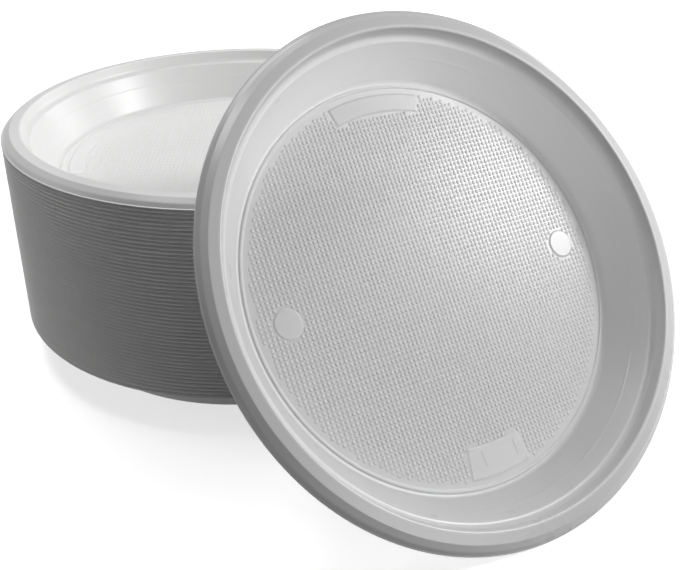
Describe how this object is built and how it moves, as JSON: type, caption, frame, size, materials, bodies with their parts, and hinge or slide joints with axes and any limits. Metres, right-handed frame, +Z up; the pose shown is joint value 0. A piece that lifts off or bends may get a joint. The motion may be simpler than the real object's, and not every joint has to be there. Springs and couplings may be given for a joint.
{
  "type": "stack of plastic plates",
  "caption": "Stack of nested round disposable plastic plates standing on its base, with one more plate leaning against its front.",
  "frame": {"origin": "centre of the stack's underside, on the surface it stands on", "axes": "+Z up along the stack's axis, -Y towards the front, where one plate leans on the stack"},
  "size_m": [0.3051, 0.3129, 0.1729],
  "materials": {
    "plate": "satin white formed polystyrene sheet"
  },
  "bodies": {
    "root": {"plate_01": "plate", "plate_02": "plate", "plate_03": "plate", "plate_04": "plate", "plate_05": "plate", "plate_06": "plate", "plate_07": "plate", "plate_08": "plate", "plate_09": "plate", "plate_10": "plate", "plate_11": "plate", "plate_12": "plate", "plate_13": "plate", "plate_14": "plate", "plate_15": "plate", "plate_16": "plate", "plate_17": "plate", "plate_18": "plate", "plate_19": "plate", "plate_20": "plate", "plate_21": "plate", "plate_22": "plate", "plate_23": "plate", "plate_24": "plate", "plate_25": "plate", "plate_26": "plate", "plate_27": "plate", "plate_28": "plate", "plate_29": "plate", "plate_30": "plate", "plate_31": "plate", "plate_32": "plate", "plate_33": "plate", "plate_34": "plate", "plate_35": "plate", "plate_36": "plate", "plate_37": "plate", "plate_38": "plate", "plate_39": "plate", "plate_40": "plate", "plate_41": "plate", "plate_42": "plate", "plate_43": "plate", "plate_44": "plate", "plate_45": "plate", "plate_46": "plate", "plate_47": "plate", "plate_48": "plate", "plate_49": "plate", "plate_50": "plate", "leaning_plate": "plate"}
  },
  "joints": []
}
